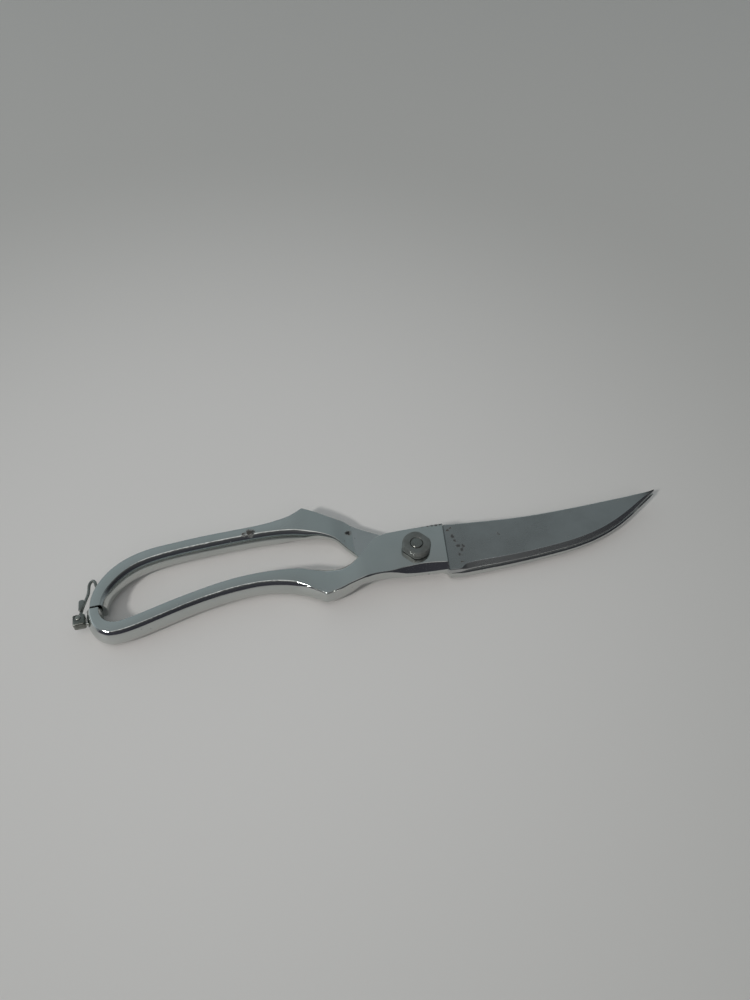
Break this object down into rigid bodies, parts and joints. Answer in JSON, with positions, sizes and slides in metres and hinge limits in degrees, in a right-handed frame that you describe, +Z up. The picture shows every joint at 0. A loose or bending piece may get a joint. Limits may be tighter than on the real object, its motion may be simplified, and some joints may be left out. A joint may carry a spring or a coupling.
{
  "type": "poultry shears",
  "caption": "Closed poultry shears with curved loop handles, a bolted lap joint, a swinging wire catch across the handle ends and curved blades, chrome plated.",
  "frame": {"origin": "centre of the underside, on the surface that the closed shears lie on", "axes": "+X toward the blade tips, +Y toward the handle and lobe of the lower half, +Z up from the surface, along the pivot bolt"},
  "size_m": [0.2508, 0.047, 0.0155],
  "materials": {
    "chrome_plate": "polished plate, worn and slightly pitted",
    "bolt_steel": "turned, slightly tarnished",
    "spring_steel": "dark drawn wire",
    "catch_steel": "dull, tarnished"
  },
  "bodies": {
    "lower_body": {"lower_half": "chrome_plate", "pivot_bolt": "bolt_steel", "pivot_nut": "bolt_steel", "bolt_key_pin": "bolt_steel", "return_spring": "spring_steel"},
    "upper_body": {"upper_half": "chrome_plate", "catch_knuckle": "catch_steel", "catch_stud": "catch_steel", "catch_pin": "catch_steel"},
    "catch_body": {"catch_hook": "catch_steel", "catch_thumb_tab": "catch_steel"}
  },
  "joints": [
    {"name": "handles_open", "type": "hinge", "parent": "lower_body", "child": "upper_body", "pos_m": [0.0118, -0.01047, 0.00575], "axis": [0, 0, 1], "range_deg": [0, 42], "deforming": ["return_spring"]},
    {"name": "catch_swing", "type": "hinge", "parent": "upper_body", "child": "catch_body", "pos_m": [-0.1234, -0.00758, 0.00575], "axis": [0, 0, 1], "range_deg": [0, 100]}
  ]
}
